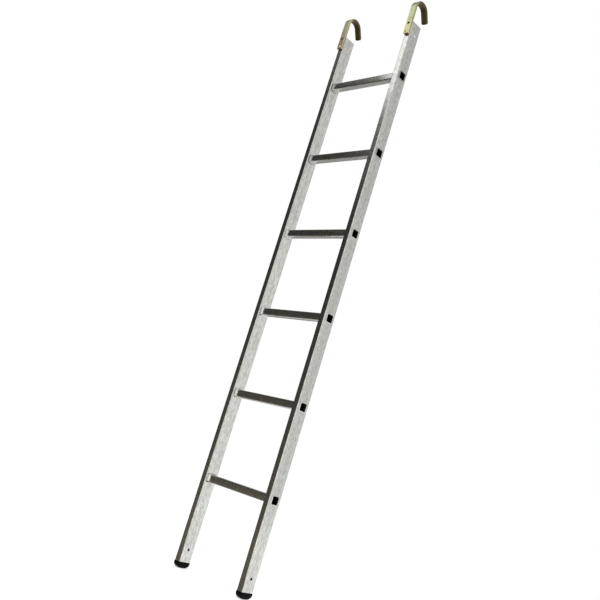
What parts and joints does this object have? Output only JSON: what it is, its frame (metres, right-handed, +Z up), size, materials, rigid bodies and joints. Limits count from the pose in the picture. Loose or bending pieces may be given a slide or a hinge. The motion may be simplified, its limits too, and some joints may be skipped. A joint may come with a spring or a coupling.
{
  "type": "scaffold access ladder",
  "caption": "Straight aluminium ladder with box stiles, ribbed square rungs, steel hooks at its head that hang on a scaffold rail, and rubber feet.",
  "frame": {"origin": "on the axis of the hooks' seat, midway between the stiles", "axes": "+X across the ladder along the rail it hangs on, -Y towards the climber, +Z up along the stiles"},
  "size_m": [0.325, 0.0813, 1.9625],
  "materials": {
    "stile_aluminium": "bright extruded, with fine lengthwise die lines",
    "rung_aluminium": "extruded with fine ribs, satin",
    "hook_zinc": "zinc plated, yellow passivated",
    "black_screw": "black oxide",
    "bright_rivet": "bright, smooth",
    "head_plug": "moulded, matt",
    "foot_rubber": "moulded, satin"
  },
  "bodies": {
    "root": {"left_stile": "stile_aluminium", "left_hook": "hook_zinc", "left_hook_screw": "black_screw", "left_hook_rivet": "bright_rivet", "left_head_rivet": "bright_rivet", "left_head_plug": "head_plug", "left_foot": "foot_rubber", "right_stile": "stile_aluminium", "right_hook": "hook_zinc", "right_hook_screw": "black_screw", "right_hook_rivet": "bright_rivet", "right_head_rivet": "bright_rivet", "right_head_plug": "head_plug", "right_foot": "foot_rubber", "rung_1": "rung_aluminium", "rung_2": "rung_aluminium", "rung_3": "rung_aluminium", "rung_4": "rung_aluminium", "rung_5": "rung_aluminium", "rung_6": "rung_aluminium"}
  },
  "joints": []
}
